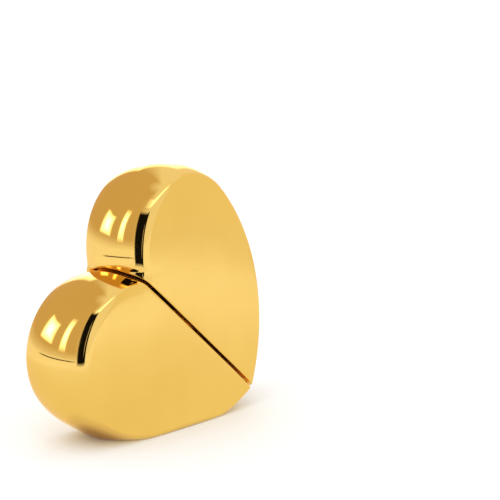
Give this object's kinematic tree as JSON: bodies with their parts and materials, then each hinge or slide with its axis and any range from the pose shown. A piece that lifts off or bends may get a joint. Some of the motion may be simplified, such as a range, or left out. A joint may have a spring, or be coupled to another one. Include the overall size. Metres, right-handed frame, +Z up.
{
  "type": "heart-shaped perfume atomiser",
  "caption": "Heart-shaped perfume atomiser: a metallised glass half-heart bottle with a spray pump, under a plated half-heart cap that pulls straight off.",
  "frame": {"origin": "on the flat base, right under the centre of the long side arc of the bottle half, in the middle of the thickness", "axes": "+Z up from the flat base, -Y out of the front face, +X towards the side that the heart's tip is on"},
  "size_m": [0.0763, 0.0232, 0.0715],
  "materials": {
    "metallised_glass": "mirror gold over clear glass",
    "plated_plastic": "mirror gold plating",
    "cap_plastic": "plated, satin",
    "natural_plastic": "natural polypropylene",
    "gold_aluminium": "polished gold anodised",
    "bare_aluminium": "rolled",
    "seal_rubber": "soft",
    "piston_plastic": "soft polyethylene",
    "spring_steel": "drawn wire",
    "ball_steel": "polished",
    "clear_tube": "translucent"
  },
  "bodies": {
    "bottle_body": {"bottle": "metallised_glass", "neck_gasket": "seal_rubber", "crimp_ferrule": "bare_aluminium", "decor_collar": "gold_aluminium", "pump_housing": "natural_plastic", "housing_turret": "natural_plastic", "stem_gasket": "seal_rubber", "return_spring": "spring_steel", "dip_tube": "clear_tube"},
    "cap": {"cap_shell": "plated_plastic", "cap_plate": "cap_plastic", "cap_liner": "natural_plastic"},
    "plunger": {"piston": "piston_plastic", "valve_pin": "natural_plastic"},
    "push_button": {"stem": "natural_plastic", "actuator_core": "natural_plastic", "actuator_shell": "gold_aluminium", "nozzle_insert": "natural_plastic"},
    "ball": {"inlet_ball": "ball_steel"}
  },
  "joints": [
    {"name": "cap_pull", "type": "slide", "parent": "bottle_body", "child": "cap", "axis": [0.6388, 0, 0.7694], "range_m": [0, 0.03]},
    {"name": "button_press", "type": "slide", "parent": "bottle_body", "child": "plunger", "axis": [-0.6388, 0, -0.7694], "range_m": [0, 0.004], "stiffness_N_per_m": 1200, "springref_m": -0.003, "deforming": ["return_spring"]},
    {"name": "button_turn", "type": "hinge", "parent": "plunger", "child": "push_button", "pos_m": [0.00424, 0, 0.02541], "axis": [0.6388, 0, 0.7694], "continuous": true},
    {"name": "ball_lift", "type": "slide", "parent": "bottle_body", "child": "ball", "axis": [0.6388, 0, 0.7694], "range_m": [0, 0.0005]}
  ]
}
